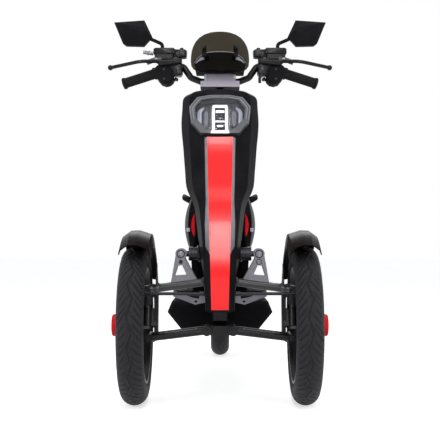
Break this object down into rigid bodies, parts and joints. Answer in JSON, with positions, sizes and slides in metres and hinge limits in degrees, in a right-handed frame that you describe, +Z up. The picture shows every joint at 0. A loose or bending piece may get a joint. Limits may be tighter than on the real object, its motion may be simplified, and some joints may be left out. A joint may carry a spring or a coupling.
{
  "type": "reverse trike",
  "caption": "Slim electric scooter with paired steered front wheels on tilting double arms, a driven rear wheel, a striped fairing, a flat floor and a hinged seat.",
  "frame": {"origin": "on the ground, under the middle of the length and width", "axes": "+Z up, -Y forward (the two steered wheels lead), +X to the left of a rider who faces -Y"},
  "size_m": [0.75, 1.87, 1.243],
  "materials": {
    "alloy": "satin",
    "black_plastic": "gloss",
    "frame_paint": "satin",
    "grey_paint": "satin",
    "grey_plastic": "satin",
    "grip_rubber": "matt",
    "lens_clear": "gloss",
    "lens_red": "gloss",
    "matt_plastic": "matt",
    "red_paint": "gloss",
    "red_plastic": "gloss",
    "seat_cover": "matt",
    "smoke_glass": "gloss",
    "steel": "brushed",
    "tyre_rubber": "matt"
  },
  "bodies": {
    "chassis": {"frame": "frame_paint", "battery_case": "matt_plastic", "floor_board": "matt_plastic", "front_fairing": "black_plastic", "fairing_stripe": "red_paint", "inner_fairing": "matt_plastic", "headlight_bezel": "grey_plastic", "headlight_lens": "lens_clear", "rear_body": "black_plastic", "side_accents": "red_plastic", "grab_handles": "matt_plastic", "tail_light": "lens_red", "rear_fender": "matt_plastic", "swing_arm": "frame_paint", "rear_shocks": "steel", "upper_arms": "grey_paint", "lower_arms": "frame_paint", "cross_shock": "steel", "lock_plates": "grey_paint", "uprights": "frame_paint"},
    "steering": {"steering_column": "frame_paint", "handlebar": "frame_paint", "clamp_cover": "grey_plastic", "visor": "smoke_glass", "instrument_pod": "black_plastic", "grips": "grip_rubber", "switch_housings": "matt_plastic", "brake_levers": "frame_paint", "master_cylinders": "frame_paint", "mirrors": "matt_plastic"},
    "knuckle_left": {"knuckle_left": "alloy", "fender_left": "black_plastic"},
    "knuckle_right": {"knuckle_right": "alloy", "fender_right": "black_plastic"},
    "tie_rod_left": {"tie_rod_left": "steel"},
    "tie_rod_right": {"tie_rod_right": "steel"},
    "wheel_front_left": {"tyre_front_left": "tyre_rubber", "rim_front_left": "alloy", "disc_front_left": "steel", "hub_cap_left": "red_plastic"},
    "wheel_front_right": {"tyre_front_right": "tyre_rubber", "rim_front_right": "alloy", "disc_front_right": "steel", "hub_cap_right": "red_plastic"},
    "wheel_rear": {"tyre_rear": "tyre_rubber", "rim_rear": "alloy"},
    "seat_lid": {"seat": "seat_cover"}
  },
  "joints": [
    {"name": "steering", "type": "hinge", "parent": "chassis", "child": "steering", "pos_m": [0, -0.683, 0.242], "axis": [0, 0.309, 0.9511], "range_deg": [-32, 32]},
    {"name": "kingpin_left", "type": "hinge", "parent": "chassis", "child": "knuckle_left", "pos_m": [0.222, -0.683, 0.242], "axis": [0, 0.309, 0.9511], "range_deg": [-32, 32]},
    {"name": "tie_rod_end_left", "type": "hinge", "parent": "knuckle_left", "child": "tie_rod_left", "pos_m": [0.25, -0.75061, 0.34135], "axis": [0, 0.309, 0.9511], "range_deg": [-32, 32]},
    {"name": "front_wheel_left", "type": "hinge", "parent": "knuckle_left", "child": "wheel_front_left", "pos_m": [0.259, -0.693, 0.242], "axis": [1, 0, 0], "continuous": true},
    {"name": "kingpin_right", "type": "hinge", "parent": "chassis", "child": "knuckle_right", "pos_m": [-0.222, -0.683, 0.242], "axis": [0, 0.309, 0.9511], "range_deg": [-32, 32]},
    {"name": "tie_rod_end_right", "type": "hinge", "parent": "knuckle_right", "child": "tie_rod_right", "pos_m": [-0.25, -0.75061, 0.34135], "axis": [0, 0.309, 0.9511], "range_deg": [-32, 32]},
    {"name": "front_wheel_right", "type": "hinge", "parent": "knuckle_right", "child": "wheel_front_right", "pos_m": [-0.259, -0.693, 0.242], "axis": [1, 0, 0], "continuous": true},
    {"name": "rear_wheel", "type": "hinge", "parent": "chassis", "child": "wheel_rear", "pos_m": [0, 0.613, 0.242], "axis": [1, 0, 0], "continuous": true},
    {"name": "seat_hinge", "type": "hinge", "parent": "chassis", "child": "seat_lid", "pos_m": [0, 0.097, 0.704], "axis": [1, 0, 0], "range_deg": [0, 70]}
  ],
  "couplings": [
    {"joint": "kingpin_left", "follows": "steering", "ratio": 1},
    {"joint": "tie_rod_end_left", "follows": "steering", "ratio": -1},
    {"joint": "kingpin_right", "follows": "steering", "ratio": 1},
    {"joint": "tie_rod_end_right", "follows": "steering", "ratio": -1}
  ]
}
